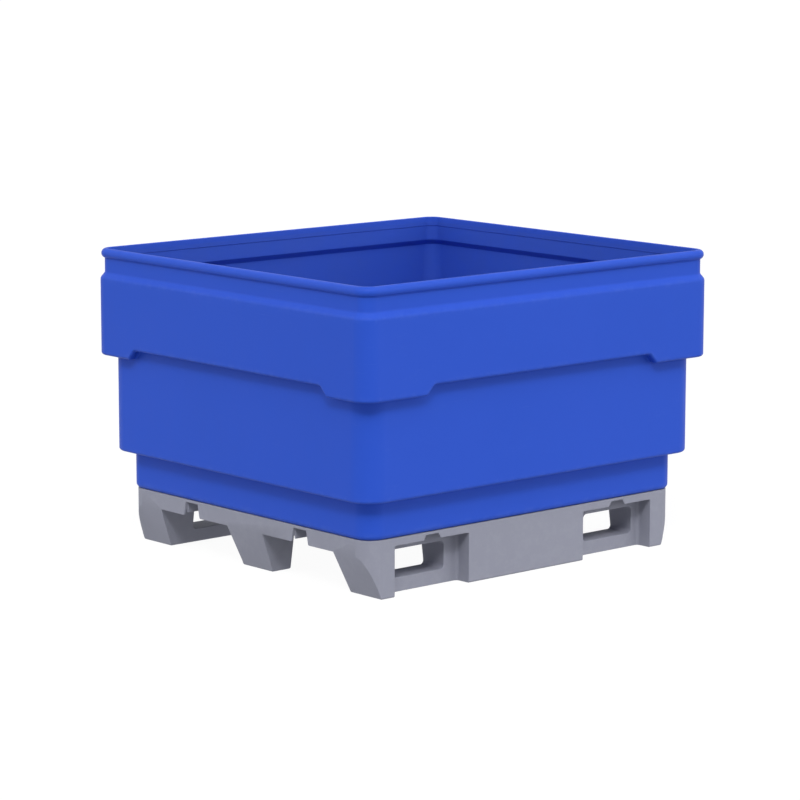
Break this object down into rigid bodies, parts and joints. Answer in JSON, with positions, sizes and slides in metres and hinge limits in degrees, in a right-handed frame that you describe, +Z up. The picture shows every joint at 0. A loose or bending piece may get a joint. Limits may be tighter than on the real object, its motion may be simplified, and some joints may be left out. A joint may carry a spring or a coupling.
{
  "type": "combo bin",
  "caption": "Open-topped bulk harvest bin: a stepped blue plastic tub with a round rim bead, bolted onto a grey four-way pallet base with fork windows and strap notches.",
  "frame": {"origin": "centre of the footprint, on the ground under the feet", "axes": "+X along the long side, +Y along the short side, +Z up towards the open top"},
  "size_m": [1.22, 1.11, 0.798],
  "materials": {
    "tub_plastic": "injection moulded polyethylene, satin, royal blue",
    "base_plastic": "structural foam polyethylene, satin, cool light grey",
    "bolt_steel": "stainless",
    "insert_brass": "turned"
  },
  "bodies": {
    "root": {"tub": "tub_plastic", "pallet_base": "base_plastic", "base_bolts": "bolt_steel", "bolt_washers": "bolt_steel", "threaded_inserts": "insert_brass"}
  },
  "joints": []
}
